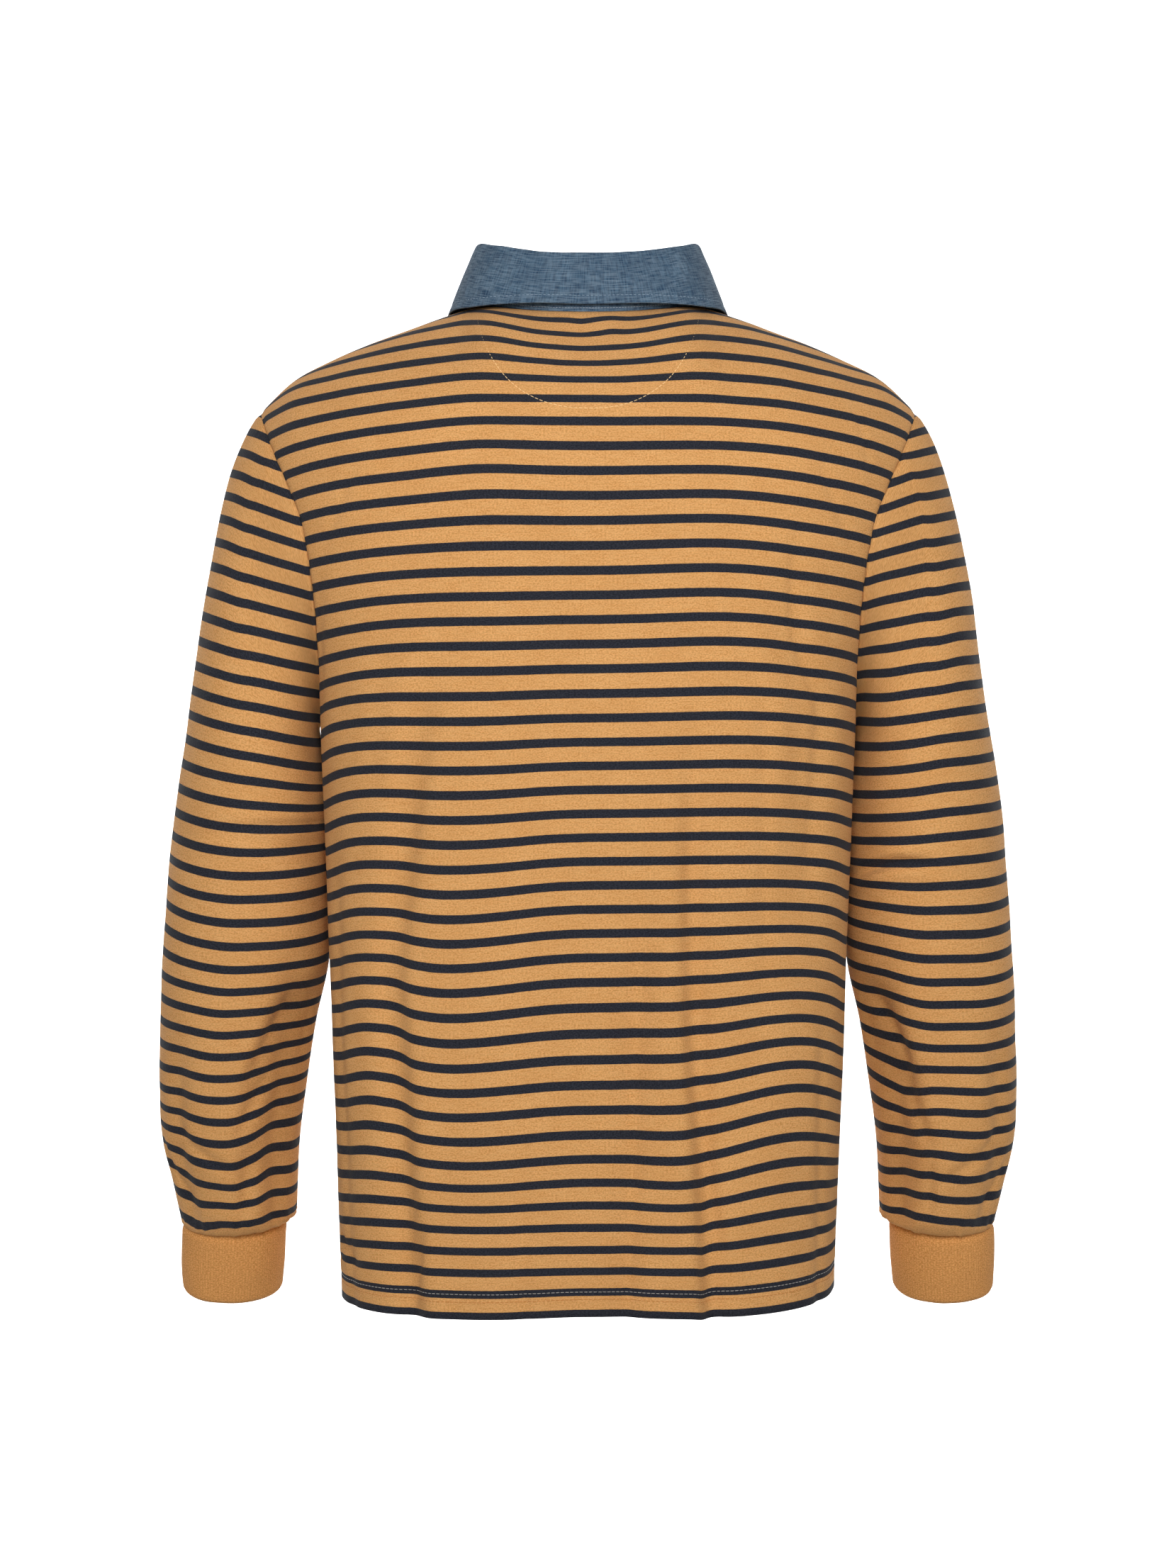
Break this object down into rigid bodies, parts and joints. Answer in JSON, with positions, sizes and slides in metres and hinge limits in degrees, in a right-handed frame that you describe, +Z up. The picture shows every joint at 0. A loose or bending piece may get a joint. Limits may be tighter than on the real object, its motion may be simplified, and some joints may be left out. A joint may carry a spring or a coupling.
{
  "type": "long-sleeved striped rugby shirt with a buttoned placket",
  "caption": "Long-sleeved jersey rugby shirt, filled out as worn: striped body, woven fold-over collar and short front placket, rib cuffs.",
  "frame": {"origin": "middle of the neck opening, level with the shoulders, where the wearer holds the shirt up", "axes": "+Z up, the front faces -Y, and the wearer's left is +X"},
  "size_m": [0.6142, 0.25, 0.7532],
  "materials": {
    "jersey": "matt heavy cotton jersey with narrow stripes",
    "rib": "matt cotton rib",
    "chambray": "matt woven chambray with stitched edges",
    "button": "satin resin"
  },
  "bodies": {
    "root": {"back_panel": "jersey", "front_panel": "jersey", "sleeve_left": "jersey", "sleeve_right": "jersey", "cuff_left": "rib", "cuff_right": "rib", "collar_stand": "chambray", "collar_leaf": "chambray", "placket_outer": "chambray", "placket_under": "chambray", "button_1": "button", "button_2": "button", "button_3": "button"}
  },
  "joints": []
}
